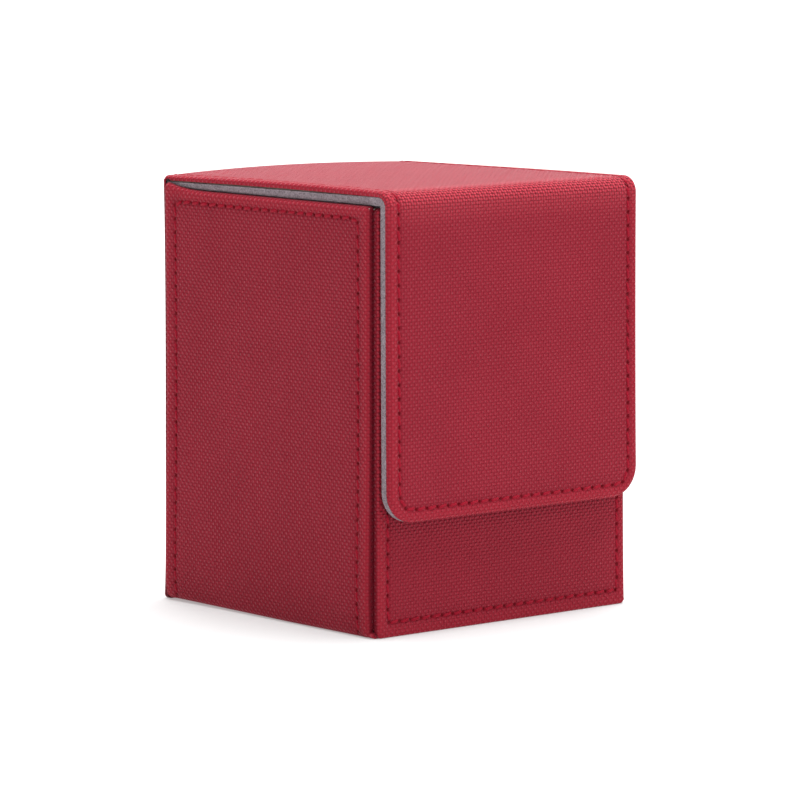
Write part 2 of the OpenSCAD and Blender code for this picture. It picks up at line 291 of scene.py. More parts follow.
def sheet(name, corners, place, profile, thickness, materials, seams=(), open_sides=(), grid_u=(),
          grid_v=(), cuts=(), depth_at=None, tight=(), shaded=True, relief_and_shade=None, painted_highlight=0.0, gathered=None):
    """A covering over a flat outline, with its edges turned over as profile says, except on the open sides.
    Tight sides are turned over with half the rounding, and depth_at says how deep each point's edge may go.
    The argument opened says how far the grain's relief is raised and, as painted shade, its valleys darkened
    and its colour contrast raised, and taut how much of that is lightened with a painted highlight.
    Gathered gives the v that each v has when a gathered piece is drawn out, for its textures."""
    points, sides = outline(corners, sorted(set(grid_u) | set(cuts)), grid_v)
    rim = np.array([0.0 if s in open_sides else 0.5 if max(s, -1 - s) in tight else 1.0 for s in sides])
    face = inset(points, rim, profile[0][0])
    gu, gv = np.meshgrid(grid_u, grid_v)
    grid = np.stack([gu.ravel(), gv.ravel()], 1)
    rows = [seam_points(track) for _, track in seams]
    if rows:
        rows = np.concatenate(rows)
        rows = rows[inside(rows, face)]
        grid = grid[distance(grid, np.concatenate([t for _, t in seams])) > CLEAR_OF_SEAM]
        rows = rows[distance(rows, face) > ROW_MARGIN]
    grid = grid[inside(grid, face)]
    grid = grid[distance(grid, face) > GRID_MARGIN]
    inner = np.concatenate([grid, rows]) if len(rows) else grid
    every = np.concatenate([face, inner])
    border = list(range(len(face)))
    _, _, tris, origin, _, _ = delaunay_2d_cdt([Vector(p) for p in every], [], [border], 1, 1e-5)
    first = [o[0] for o in origin]
    faces = [[first[k] for k in t] for t in tris]
    height, hole, sewn_in = relief(every, seams)
    off = edge_distance(every, points, rim)
    height = height + RIM_PAD * np.sin(math.pi * np.clip(off / SEAM_IN, 0, 1)) * (len(seams) > 0)
    deep = [np.zeros(len(every))]
    co = [place(every[:, 0], every[:, 1], height)]
    closed = np.minimum(rim, np.roll(rim, 1)) > 0
    flat, edge = [every], [np.concatenate([0.5 * closed, np.zeros(len(inner))])]
    wave = height[:len(face)]
    ring, total, length = np.arange(len(face)), len(every), 0
    for k, ((i0, h0), (i1, h1)) in enumerate(zip(profile, profile[1:])):
        length += math.hypot(i1 - i0, h1 - h0)
        at = inset(points, rim, i1)
        h = np.full(len(points), h1)
        if depth_at is not None:
            to_go = len(profile) - 2 - k
            h = np.maximum(h, RING_GAP * to_go - depth_at(points[:, 0], points[:, 1]))
        co.append(place(at[:, 0], at[:, 1], h + wave))
        flat.append(inset(points, rim, profile[0][0] - length))
        reach = length / (abs(profile[-1][1]) + 1e-6)
        edge.append(np.full(len(points), 1.0 if reach < 0.9 else 0.3))
        # Painted shade: the lower part of each turned edge, down in the groove beside the next panel, is
        # marked for darkening on shaded pieces.
        deep.append(np.full(len(points), float(np.clip((reach - 0.32) / 0.45, 0, 1)) * shaded))
        new = np.arange(total, total + len(points))
        for j in range(len(points)):
            if rim[j]:
                n = (j + 1) % len(points)
                faces.append([ring[n], ring[j], new[j], new[n]])
        ring, total = new, total + len(points)
    rest_of = np.zeros(total - len(every))
    every_flat = np.concatenate(flat)
    grain = relief_and_shade(every_flat[:, 0], every_flat[:, 1]) if relief_and_shade else np.zeros(len(every_flat))
    near_rim = np.clip((SEAM_IN - off) / 0.8, 0, 1)
    marks = {"open": grain, "painted_highlight": grain * painted_highlight, "edge": np.concatenate(edge), "deep": np.concatenate(deep),
             "hole": np.concatenate([hole, rest_of]), "sewn": np.concatenate([sewn_in, rest_of]),
             "rim": np.concatenate([near_rim, np.ones(len(rest_of))])}
    drawn_out = None
    if gathered:
        drawn_out = np.stack([every_flat[:, 0], gathered(every_flat[:, 1]), np.zeros(len(every_flat))], 1)
    obj = make(name, np.concatenate(co), faces, every_flat, marks, materials, drawn_out)
    drop_loose(obj)
    thicken(obj, thickness, len(materials) - 1)
    return obj


def thicken(obj, thickness, inner_material):
    """Gives a surface its thickness, on the side away from its face, as part of its mesh."""
    shell = obj.modifiers.new("thickness", "SOLIDIFY")
    shell.thickness = thickness * MM
    shell.offset = -1
    shell.use_even_offset = True
    shell.material_offset = inner_material
    solid = bpy.data.meshes.new_from_object(obj.evaluated_get(bpy.context.evaluated_depsgraph_get()))
    obj.modifiers.clear()
    obj.data = solid
    solid.shade_smooth()
    solid.set_sharp_from_angle(angle=math.radians(65))


def drop_loose(obj):
    """Takes away points that no face uses."""
    bm = bmesh.new()
    bm.from_mesh(obj.data)
    bmesh.ops.delete(bm, geom=[v for v in bm.verts if not v.link_faces], context="VERTS")
    bm.to_mesh(obj.data)
    bm.free()


THREAD_RINGS, THREAD_SIDES = 9, 8
THREAD_WIDE, THREAD_HIGH = 0.4, 0.2  # half sizes
THREAD_DIP, THREAD_SUNK = 0.36, 0.07  # how far its ends and all of it go down
THREAD_START = 0.28  # from a hole's middle


def stitches(name, pairs, place, material):
    """Twisted two-ply thread from each needle hole to the next, sinking in at both ends."""
    t = np.linspace(0, 1, THREAD_RINGS)[:, None]
    around = np.linspace(0, 2 * math.pi, THREAD_SIDES, endpoint=False)[None, :]
    swell = 1 - 0.55 * np.abs(2 * t - 1) ** 5
    lobes = 1 + 0.16 * np.cos(2 * (around - 2 * math.pi * 1.5 * t))
    across = THREAD_WIDE * swell * lobes * np.cos(around)
    rise = THREAD_HIGH * swell * lobes * np.sin(around) - THREAD_DIP * np.abs(2 * t - 1) ** 4 - THREAD_SUNK
    co, flat, faces = [], [], []
    for i, (a, b) in enumerate(pairs):
        run = b - a
        size = np.linalg.norm(run)
        run = run / size
        side = np.array((-run[1], run[0]))
        slant = (0.24 + 0.05 * math.sin(i * 2.4)) * (2 * t - 1)
        line = THREAD_START + (size - 2 * THREAD_START) * t
        u = a[0] + run[0] * line + side[0] * (across + slant)
        v = a[1] + run[1] * line + side[1] * (across + slant)
        lift = 0.03 * math.sin(i * 1.7)
        co.append(place(u.ravel(), v.ravel(), (rise + lift).ravel()))
        flat.append(np.stack([(line + 0 * around).ravel(), (0.25 * around + 0 * t).ravel()], 1))
        o = i * THREAD_RINGS * THREAD_SIDES
        for r in range(THREAD_RINGS - 1):
            for s in range(THREAD_SIDES):
                n = (s + 1) % THREAD_SIDES
                p = o + r * THREAD_SIDES
                faces.append([p + s, p + n, p + THREAD_SIDES + n, p + THREAD_SIDES + s])
        faces.append([o + s for s in reversed(range(THREAD_SIDES))])
        faces.append([o + (THREAD_RINGS - 1) * THREAD_SIDES + s for s in range(THREAD_SIDES)])
    obj = make(name, np.concatenate(co), faces, np.concatenate(flat), {}, [material])
    return obj


# ---------------------------------------------------------------- materials
class Tree:
    """Short names for the few node kinds used here."""

    def __init__(self, name):
        self.material = bpy.data.materials.new(name)
        self.material.use_nodes = True
        self.tree = self.material.node_tree
        self.tree.nodes.clear()
        self.shader = self.add("ShaderNodeBsdfPrincipled")
        out = self.add("ShaderNodeOutputMaterial")
        self.link(self.shader.outputs[0], out.inputs[0])

    def add(self, kind, **settings):
        node = self.tree.nodes.new(kind)
        for key, value in settings.items():
            setattr(node, key, value)
        return node

    def link(self, a, b):
        self.tree.links.new(a, b)

    def feed(self, socket, value):
        if hasattr(value, "is_output"):
            self.link(value, socket)
        else:
            socket.default_value = value

    def math(self, operation, a, b=0.0, c=0.0, clamp=False):
        node = self.add("ShaderNodeMath", operation=operation, use_clamp=clamp)
        for socket, value in zip(node.inputs, (a, b, c)):
            self.feed(socket, value)
        return node.outputs[0]

    def attribute(self, name, output="Fac"):
        return self.add("ShaderNodeAttribute", attribute_name=name).outputs[output]

    def noise(self, scale, detail=3.0, roughness=0.55, coordinate=None):
        node = self.add("ShaderNodeTexNoise")
        self.link(coordinate if coordinate else self.attribute("rest", "Vector"), node.inputs["Vector"])
        node.inputs["Scale"].default_value = scale
        node.inputs["Detail"].default_value = detail
        node.inputs["Roughness"].default_value = roughness
        return node.outputs["Fac"]

    def ramp(self, value, low_out, high_out, low_in=0.0, high_in=1.0):
        node = self.add("ShaderNodeMapRange", clamp=True)
        self.feed(node.inputs["Value"], value)
        ends = {"From Min": low_in, "From Max": high_in, "To Min": low_out, "To Max": high_out}
        for key, number in ends.items():
            node.inputs[key].default_value = number
        return node.outputs[0]

    def mix(self, amount, a, b):
        node = self.add("ShaderNodeMix", data_type="RGBA")
        self.feed(node.inputs[0], amount)
        self.feed(node.inputs[6], a)
        self.feed(node.inputs[7], b)
        return node.outputs[2]

    def bump(self, height, distance_mm, strength=1.0):
        node = self.add("ShaderNodeBump")
        node.inputs["Strength"].default_value = strength
        node.inputs["Distance"].default_value = distance_mm * MM
        self.link(height, node.inputs["Height"])
        self.link(node.outputs[0], self.shader.inputs["Normal"])


RED_BODY = (0.307, 0.017, 0.032, 1)
RED_CREST = (0.39, 0.030, 0.052, 1)
RED_VALLEY = (0.232, 0.011, 0.023, 1)
RED_RIM = (0.46, 0.022, 0.040, 1)
RED_WORN = (0.50, 0.06, 0.085, 1)
# Painted highlight, for the fold.
RED_PAINTED_HIGHLIGHT = (0.58, 0.052, 0.078, 1)
# Painted shade, for the needle holes.
RED_HOLE_SHADE = (0.15, 0.0, 0.005, 1)
# Painted shade, for the grooves down the turned edges and for the grain's valleys.
RED_PAINTED_SHADE = (0.10, 0.002, 0.008, 1)
THREAD_DARK, THREAD_RED = (0.24, 0.002, 0.012, 1), (0.41, 0.005, 0.026, 1)
THREAD_FUZZ = (0.48, 0.012, 0.038, 1)
NAP_DARK, NAP_PALE = (0.12, 0.088, 0.102, 1), (0.45, 0.365, 0.405, 1)
NAP_BRUSHED, NAP_TUFT = (0.24, 0.19, 0.215, 1), (0.52, 0.42, 0.465, 1)
BOARD_DARK, BOARD_PALE = (0.25, 0.22, 0.18, 1), (0.36, 0.32, 0.27, 1)
FLECK_PALE, FLECK_DARK = (0.55, 0.52, 0.46, 1), (0.09, 0.08, 0.07, 1)
NICKEL_BRIGHT, NICKEL_DULL = (0.66, 0.65, 0.62, 1), (0.52, 0.51, 0.49, 1)


def leatherette():
    """Coated cloth with a woven grain: raised squares in a staggered checkerboard."""
    t = Tree("leatherette")
    uv = t.add("ShaderNodeUVMap", uv_map="flat").outputs[0]
    split = t.add("ShaderNodeSeparateXYZ")
    t.link(uv, split.inputs[0])
    wobble = t.ramp(t.noise(0.5, 2), -0.12, 0.12, 0.3, 0.7)
    waves, threads = [], []
    for k in (0, 1):
        phase = t.math("MULTIPLY_ADD", split.outputs[k], math.pi / GRAIN, wobble)
        waves.append(t.math("SINE", phase))
        threads.append(t.math("POWER", t.math("ABSOLUTE", waves[k]), 0.6))
    over = t.math("MULTIPLY", waves[0], waves[1])
    cells = t.math("MULTIPLY", threads[0], threads[1])
    shade = t.math("MULTIPLY_ADD", over, 0.16, t.math("MULTIPLY", cells, 0.84))
    weave = t.math("MULTIPLY_ADD", over, 0.5, t.math("MULTIPLY_ADD", cells, 0.45, 0.2))
    fine = t.noise(5.0, 4, 0.6)
    broad = t.noise(0.06, 3, 0.5)
    edge = t.attribute("edge")
    hole = t.attribute("hole")
    relief_and_shade = t.attribute("open")
    painted_highlight = t.attribute("painted_highlight")
    # Where the open mark is, the grain's colour contrast is raised: on the fold partly for its stretched
    # grain and partly as painted shade, under the flap as painted shadow.
    contrast = t.math("MULTIPLY", t.math("SUBTRACT", shade, 0.45), t.math("MULTIPLY_ADD", relief_and_shade, 1.3, 1.0))
    colour = t.mix(t.ramp(contrast, 0, 1, -0.35, 0.4), RED_VALLEY, RED_CREST)
    colour = t.mix(t.ramp(fine, 0.05, 0.4, 0.3, 0.7), colour, RED_BODY)
    colour = t.mix(t.ramp(broad, 0.0, 0.28, 0.35, 0.7), colour, RED_VALLEY)
    # Painted highlight: the fold and the cover next to it are lightened.
    colour = t.mix(t.ramp(painted_highlight, 0, 0.9), colour, RED_PAINTED_HIGHLIGHT)
    # Painted shade: there the grain's valleys are darkened too.
    colour = t.mix(t.math("MULTIPLY", relief_and_shade, t.ramp(contrast, 0, 0.85, 0.05, -0.4)), colour, RED_PAINTED_SHADE)
    wear = t.math("MULTIPLY", edge, t.ramp(t.math("MULTIPLY", fine, weave), 0.0, 0.42, 0.2, 0.6))
    colour = t.mix(t.ramp(t.attribute("rim"), 0, 0.35), colour, RED_RIM)
    colour = t.mix(wear, colour, RED_WORN)
    # Painted shade along each seam's pressed channel.
    colour = t.mix(t.ramp(t.attribute("sewn"), 0, 0.6), colour, RED_VALLEY)
    # Painted shade: the lower part of the turned edges, down in the grooves between panels, is darkened.
    colour = t.mix(t.ramp(t.attribute("deep"), 0, 0.85), colour, RED_PAINTED_SHADE)
    # Painted shade in the needle holes.
    colour = t.mix(t.ramp(hole, 0, 0.95, 0.12, 0.6), colour, RED_HOLE_SHADE)
    t.link(colour, t.shader.inputs["Base Color"])
    t.link(t.ramp(t.math("ADD", weave, fine), 0.58, 0.42, 0.4, 1.6), t.shader.inputs["Roughness"])
    t.shader.inputs["Specular IOR Level"].default_value = 0.06
    t.shader.inputs["Sheen Weight"].default_value = 0.24
    t.shader.inputs["Sheen Roughness"].default_value = 0.33
    t.shader.inputs["Sheen Tint"].default_value = (1.0, 0.36, 0.42, 1)
    height = t.math("MULTIPLY_ADD", fine, 0.12, weave)
    t.bump(t.math("MULTIPLY", height, t.math("MULTIPLY_ADD", relief_and_shade, 0.8, 1.0)), 0.28, 1.0)
    return t.material


def thread():
    """Dyed polyester thread, fuzzy between its plies."""
    t = Tree("thread")
    uv = t.add("ShaderNodeUVMap", uv_map="flat").outputs[0]
    wave = t.add("ShaderNodeTexWave", wave_type="BANDS", bands_direction="DIAGONAL")
    t.link(uv, wave.inputs["Vector"])
    wave.inputs["Scale"].default_value = 1.6
    wave.inputs["Distortion"].default_value = 0.6
    fuzz = t.noise(7.0, 3)
    colour = t.mix(t.ramp(wave.outputs["Fac"], 0.1, 0.9), THREAD_DARK, THREAD_RED)
    colour = t.mix(t.ramp(fuzz, 0, 0.3, 0.4, 0.7), colour, THREAD_FUZZ)
    t.link(colour, t.shader.inputs["Base Color"])
    t.link(t.ramp(fuzz, 0.45, 0.6), t.shader.inputs["Roughness"])
    t.shader.inputs["Specular IOR Level"].default_value = 0.12
    t.bump(t.math("MULTIPLY_ADD", fuzz, 0.4, wave.outputs["Fac"]), 0.05, 0.8)
    return t.material


def microfibre():
    """Short suede nap: mottled where it has been brushed one way or the other."""
    t = Tree("microfibre")
    nap = t.noise(0.35, 4, 0.65)
    fibre = t.noise(2.6, 4, 0.75)
    tuft = t.noise(1.1, 3, 0.6)
    colour = t.mix(t.ramp(fibre, 0, 1, 0.35, 0.65), NAP_DARK, NAP_PALE)
    colour = t.mix(t.ramp(nap, 0, 0.3, 0.4, 0.65), colour, NAP_BRUSHED)
    colour = t.mix(t.ramp(tuft, 0, 0.5, 0.5, 0.7), colour, NAP_TUFT)
    t.link(colour, t.shader.inputs["Base Color"])
    t.link(t.ramp(fibre, 0.95, 0.8), t.shader.inputs["Roughness"])
    t.shader.inputs["Specular IOR Level"].default_value = 0.15
    t.shader.inputs["Sheen Weight"].default_value = 0.12
    t.shader.inputs["Sheen Roughness"].default_value = 0.6
    t.bump(t.math("MULTIPLY_ADD", tuft, 1.2, fibre), 0.35, 0.9)
    return t.material


def greyboard():
    """Recycled board: a dull base flecked with light and dark fibres."""
    t = Tree("greyboard")
    place_of = t.add("ShaderNodeTexCoord").outputs["Object"]
    grey = t.noise(220, 4, 0.7, place_of)
    fibre_map = t.add("ShaderNodeMapping")
    fibre_map.inputs["Scale"].default_value = (1.0, 0.25, 1.0)
    t.link(place_of, fibre_map.inputs["Vector"])
    fleck = t.noise(1900, 2, 0.5, fibre_map.outputs[0])
    colour = t.mix(t.ramp(grey, 0, 1, 0.35, 0.65), BOARD_DARK, BOARD_PALE)
    colour = t.mix(t.ramp(fleck, 0, 0.8, 0.62, 0.72), colour, FLECK_PALE)
    colour = t.mix(t.ramp(fleck, 0.7, 0, 0.28, 0.38), colour, FLECK_DARK)
    t.link(colour, t.shader.inputs["Base Color"])
    t.link(t.ramp(grey, 0.8, 0.95), t.shader.inputs["Roughness"])
    t.bump(t.math("ADD", grey, fleck), 0.08, 0.6)
    return t.material


def nickel():
    """Plated magnets, dulled and finely scratched."""
    t = Tree("nickel")
    place_of = t.add("ShaderNodeTexCoord").outputs["Object"]
    smear = t.noise(350, 3, 0.6, place_of)
    scratch_map = t.add("ShaderNodeMapping")
    scratch_map.inputs["Scale"].default_value = (1.0, 1.0, 0.08)
    t.link(place_of, scratch_map.inputs["Vector"])
    scratch = t.noise(2600, 2, 0.5, scratch_map.outputs[0])
    colour = t.mix(t.ramp(smear, 0, 1, 0.35, 0.7), NICKEL_BRIGHT, NICKEL_DULL)
    t.link(colour, t.shader.inputs["Base Color"])
    t.shader.inputs["Metallic"].default_value = 1.0
    t.link(t.ramp(t.math("ADD", smear, scratch), 0.2, 0.42, 0.7, 1.3), t.shader.inputs["Roughness"])
    t.bump(scratch, 0.01, 0.5)
    return t.material


RED, SEWN, GREY, BOARD, NICKEL = leatherette(), thread(), microfibre(), greyboard(), nickel()


# ---------------------------------------------------------------- where the flat sheets lie
S_FOLD = FOLD_Z - FLAP_LOW
S_LID = S_FOLD + FOLD_R * math.pi / 2
LID_RUN = BACK_Y - TURN_R - FOLD_Y
S_TURN = S_LID + LID_RUN
S_SPINE = S_TURN + TURN_R * math.pi / 2
SPINE_RUN = TOP_Z - TURN_R
S_FOOT = S_SPINE + SPINE_RUN - BASE_CLEAR


def s_of_back(z):
    """Flat coordinate of a height on the spine or the back panel."""
    return S_SPINE + (TOP_Z - TURN_R - z)


def lid_lift(x, y, middle):
    """How far the lid stands up from flat: less towards the hinge, more in the middle over the hinge."""
    way = np.clip((y - FOLD_Y) / (BACK_Y - FOLD_Y), 0, 1)
    across = x / STRIP_X
    side = SIDE_BOW * (0.64 - 0.36 * across) * np.sin(math.pi * way) - LID_SAG * way
    return side + middle * TOP_BOW * (1 - across ** 2) * (1 - 0.25 * across) * way ** 1.6


def flap_lean(z):
    """How far the flap stands off the front panel."""
    return FLAP_LEAN * np.clip((FOLD_Z - z) / (FOLD_Z - FLAP_LOW), 0, 1) ** 1.5


def cover(u, s, h):
    """Outside of the flap, fold, lid, spine and back: one strip, up the front and down the back."""
    x = u + 0 * s
    a = np.clip((s - S_FOLD) / FOLD_R, 0, math.pi / 2)
    b = np.clip((s - S_TURN) / TURN_R, 0, math.pi / 2)
    flap, back = np.minimum(s - S_FOLD, 0), np.maximum(s - S_SPINE, 0)
    lid = np.clip(s - S_LID, 0, LID_RUN)
    front = s < (S_LID + S_TURN) / 2
    y = np.where(front, FOLD_Y - (FOLD_R + h) * np.cos(a) + lid,
                 BACK_Y - TURN_R + (TURN_R + h) * np.sin(b) - (LID_RUN - lid))
    z = np.where(front, FOLD_Z + (FOLD_R + h) * np.sin(a) + flap,
                 TOP_Z - TURN_R + (TURN_R + h) * np.cos(b) - back)
    share = np.clip((z - WALL_Z) / (TOP_Z - WALL_Z), 0, 1) * (s > S_FOLD)
    y = y - flap_lean(z) * (s < S_FOLD)
    foot, low_down, top = BACK_SPLAY
    splay = (foot * np.exp(-z / 14) + top * np.exp(-np.maximum(WALL_Z - z, 0) / 14)
             + low_down * np.exp(-((z - 30) / 25) ** 2)) * (s > S_SPINE) * (x / STRIP_X) ** 7
    ahead = np.clip((BACK_Y - y) / (BACK_Y - FOLD_Y), 0, 1)
    foot, upper = FLAP_SPLAY
    wide = upper + foot * np.exp(-np.maximum(z - FLAP_LOW, 0) / 16)
    wide = ahead * np.clip(x / STRIP_X, 0, 1) ** 5 * wide
    return np.stack([x + splay + wide, y, z + share * lid_lift(x, y, 1)], 1)


def inner_cover(u, s, h):
    """Microfibre side of the flap, the fold's crease and the lid, seen from inside the box."""
    a = np.clip((s - S_FOLD) / CREASE_R, 0, math.pi / 2)
    flap = np.minimum(s - S_FOLD, 0)
    lid = np.maximum(s - S_FOLD - CREASE_R * math.pi / 2, 0)
    y = FOLD_Y - (CREASE_R - h) * np.cos(a) + lid
    z = FOLD_Z + (CREASE_R - h) * np.sin(a) + flap
    y = y - flap_lean(z) * (s < S_FOLD)
    lift = lid_lift(u, y, 0) * np.clip((z - LID_LOW) / INNER_T, 0.15, 1) * (s > S_FOLD)
    return np.stack([-u, y, z + lift], 1)


S_CREASE = S_FOLD + CREASE_R * math.pi / 2
S_LINING_END = S_CREASE + LID_BACK - FOLD_Y

BEND_U = SIDE_X - BEND_R
SIDE_U = BEND_U + BEND_R * math.pi / 2
TOP_U = SIDE_U + WALL_Z - BEND_R
EAR_RISE, EAR_LEN = 1.8, 18.0


def wrap(u, v, h):
    """Outside of the left side, the base and the right side: one strip round the bottom of the box."""
    over = np.abs(u)
    a = np.clip((over - BEND_U) / BEND_R, 0, math.pi / 2)
    h = np.minimum(h, (BEND_R - BASE_CLEAR) / np.cos(np.minimum(a, STEEP)) - BEND_R)
    up = np.maximum(over - SIDE_U, 0)
    x = np.minimum(over, BEND_U) + (BEND_R + h) * np.sin(a)
    z = BEND_R - (BEND_R + h) * np.cos(a) + up
    flare = FLARE * np.clip((z - 0.3) / 7, 0, 1) ** 0.7 * np.exp(-(np.maximum(z - 7, 0) / 22) ** 2)
    rear = REAR_FLARE * np.clip((-v - 10) / (SIDE_Y1 - 10), 0, 1) ** 2
    up_the_rear = np.exp(-z / 16) + 0.7 * np.exp((z - WALL_Z) / 14) + 0.55 * np.exp(-((z - 30) / 25) ** 2)
    flare = flare + rear * np.clip(z / 3, 0, 1) * up_the_rear
    lift = BASE_LIFT * (u < 0) * np.clip((over - 34) / 3, 0, 1) * np.clip((5 - v) / 40, 0, 1)
    lift = lift * np.exp(-up / 6)
    return np.stack([np.sign(u) * (x + flare), -v + 0 * u, z + lift], 1)


def front_face(u, v, h):
    """Outside of the front panel."""
    splay = np.clip(u / STRIP_X, 0, 1) ** 5 * (0.62 * np.exp(-v / 18) - 0.3)
    return np.stack([u + splay, FRONT_Y - h, v + 0 * u], 1)


def tray(u, v, h):
    """Inside of the tray. Beside the ears its rim reaches out to their inner faces, over the board."""
    beside_ear = np.clip((v - (SIDE_Y1 - EAR_LEN)) / 6, 0, 1)
    reach = EAR_REACH * beside_ear * np.clip((np.abs(u) - TRAY_X + 0.6) / 0.6, 0, 1)
    return np.stack([u + np.sign(u) * reach, v, FLOOR_Z + h], 1)


def lines(a, b, step):
    """Evenly spaced values from a to b."""
    return list(np.linspace(a, b, max(2, round((b - a) / step) + 1)))


# ---------------------------------------------------------------- the cover's two runs of seam
SEAM_X = STRIP_X - SEAM_IN
KNOT_S = s_of_back(WALL_Z + 1.7)  # where the cover's two runs of seam meet
cover_run = seam([(-SEAM_X, KNOT_S, 0), (-SEAM_X, SEAM_IN, 4), (SEAM_X, SEAM_IN, 4), (SEAM_X, KNOT_S, 0)])
back_run = seam([(-SEAM_X, KNOT_S, 0), (-SEAM_X, S_FOOT - SEAM_IN, 0.7), (SEAM_X, S_FOOT - SEAM_IN, 0.7),
                 (SEAM_X, KNOT_S, 0)])
COVER_SEAMS = (cover_run, back_run)
SEAM_CUTS = [side * SEAM_X + r for side in (-1, 1) for r in ROWS]
GRID_X = lines(-STRIP_X, STRIP_X, GRID)


def strip(name, s0, s1, profile, corner0, corner1, step, materials, place=cover, thickness=SKIN,
          seams=COVER_SEAMS, shaded=False, relief_and_shade=None, gathered=None):
    """A length of the cover from s0 to s1. A corner radius of 0 leaves that end open for the next piece."""
    corners = [(-STRIP_X, s0, corner0), (STRIP_X, s0, corner0),
               (STRIP_X, s1, corner1), (-STRIP_X, s1, corner1)]
    sides = [k for k, corner in ((0, corner0), (2, corner1)) if corner == 0]
    near = []
    for run in seams:
        holes, track = (line[(line[:, 1] > s0 - 3) & (line[:, 1] < s1 + 3)] for line in run)
        if len(holes) and len(track):
            near.append((holes, track))
    return sheet(name, corners, place, profile, thickness, materials, seams=near, open_sides=sides,
                 grid_u=GRID_X, grid_v=lines(s0, s1, step), cuts=SEAM_CUTS if seams else (), shaded=shaded,
                 relief_and_shade=relief_and_shade, painted_highlight=1.0, gathered=gathered)


FOLD_PAD = 1.0  # length of flat cover at each end of the fold piece
LINING_PAD = 0.6  # and of flat lining
BACK_SPLIT = s_of_back(WALL_Z - 1.2)
LID_SPLIT = S_TURN - 1.5


def fold_stretch_and_highlight(u, s):
    """How far the fold pulls the grain open; the same amount sets the fold's painted highlight and the
    painted shade in its grain's valleys.
    """
    return np.exp(-((s - (S_FOLD + S_LID) / 2) / 4.2) ** 2)


def flap_shadow(u, v):
    """Painted shadow of the flap: where it hangs over the front panel, the grain's valleys are darkened, its
    colour contrast raised and its relief made higher.
    """
    return 0.6 / (1 + np.exp((FLAP_LOW - 2.5 - v) / 1.2))


def creased(v):
    """The crease of the lining draws out to six times its length when the flap opens."""
    half = (S_CREASE - S_FOLD) / 2 + 0.1
    return v + 5 * np.clip(v - (S_FOLD + S_CREASE) / 2, -half, half)


COVER_EDGE = turned_edge(EDGE_R, COVER_T)
SPINE_EDGE = turned_edge(EDGE_R, EDGE_R)
LINING_EDGE = turned_edge(0.7, INNER_T)
flap_skin = strip("flap_leatherette", 0, S_FOLD - FOLD_PAD, COVER_EDGE, FLAP_CORNER, 0, GRID, [RED],
                  relief_and_shade=fold_stretch_and_highlight)
fold_skin = strip("fold_leatherette", S_FOLD - FOLD_PAD, S_LID + FOLD_PAD, COVER_EDGE, 0, 0, 0.3, [RED],
                  relief_and_shade=fold_stretch_and_highlight)
lid_skin = strip("lid_leatherette", S_LID + FOLD_PAD, LID_SPLIT, COVER_EDGE, 0, 0, GRID, [RED],
                 relief_and_shade=fold_stretch_and_highlight)
spine_top = strip("spine_upper", LID_SPLIT, KNOT_S, SPINE_EDGE, 0, 0, FINE, [RED, GREY])
spine_low = strip("spine_lower", KNOT_S, BACK_SPLIT, SPINE_EDGE, 0, 0, FINE, [RED, GREY])
back_skin = strip("back_leatherette", BACK_SPLIT, S_FOOT, turned_edge(EDGE_R, BACK_Y - SIDE_Y1), 0, 0.95,
                  GRID, [RED], shaded=True)

flap_lining = strip("flap_microfibre", 0, S_FOLD - LINING_PAD, LINING_EDGE, FLAP_CORNER, 0, GRID, [GREY],
                    inner_cover, FIBRE, ())
fold_lining = strip("fold_microfibre", S_FOLD - LINING_PAD, S_CREASE + LINING_PAD, LINING_EDGE, 0, 0, 0.1,
                    [GREY], inner_cover, FIBRE, (), gathered=creased)
lid_lining = strip("lid_microfibre", S_CREASE + LINING_PAD, S_LINING_END, LINING_EDGE, 0, 1.0, GRID, [GREY],
                   inner_cover, FIBRE, ())

FRONT_FOOT = 0.05  # the front panel's lower edge, just off the ground
FRONT_SEAM_X = STRIP_X - 2.3  # the right-hand seam runs nearer to its edge than the others
FRONT_SEAM_Z = FRONT_LOW + 2.2  # and so does the lower one
front_run = seam([(-SEAM_X, FRONT_TOP - 1.6, 0), (-SEAM_X, FRONT_SEAM_Z, 0.7),
                  (FRONT_SEAM_X, FRONT_SEAM_Z, 0.7), (FRONT_SEAM_X, FRONT_TOP - 1.6, 0)])
front_skin = sheet("front_leatherette",
                   [(-STRIP_X, FRONT_FOOT, CORNER_R), (STRIP_X, FRONT_FOOT, CORNER_R),
                    (STRIP_X, FRONT_TOP, CORNER_R), (-STRIP_X, FRONT_TOP, CORNER_R)],
                   front_face, turned_edge(0.5, FRONT_INNER - FRONT_Y), SKIN, [RED], seams=(front_run,),
                   grid_u=GRID_X, grid_v=lines(FRONT_FOOT, FRONT_TOP, GRID), relief_and_shade=flap_shadow)

WRAP_R = 1.1  # rounding of the sides' turned edges
EAR_STEPS = 20  # points along an ear's slope
STEP_U = BEND_U + BEND_R * math.acos(1 - FRONT_LOW / BEND_R)
SIDE_BACK_V, SIDE_FRONT_V, BASE_FRONT_V = -SIDE_Y1, -SIDE_Y0, -FRONT_Y - 0.6


def ear(sign):
    """Top of a side panel beside the hinge, where it rises towards the back."""
    path = [(TOP_U + EAR_RISE, SIDE_BACK_V, 1.2)]
    for k in range(2, EAR_STEPS):
        way = k / EAR_STEPS
        path.append((TOP_U + EAR_RISE * (1 - way) ** 3, SIDE_BACK_V + EAR_LEN * way, 0.0))
    return path if sign > 0 else [(-u, v, r) for u, v, r in reversed(path)]


def side_seams(sign):
    """The seam up, along and down a side panel."""
    front, back = SIDE_FRONT_V - SIDE_SEAM_IN, SIDE_BACK_V + SIDE_SEAM_IN
    foot, top = sign * (SIDE_U - 0.3), sign * (TOP_U - SEAM_IN)
    return seam([(foot, front, 0), (top, front, 0.7), (top, back, 0.7), (foot, back, 0)])


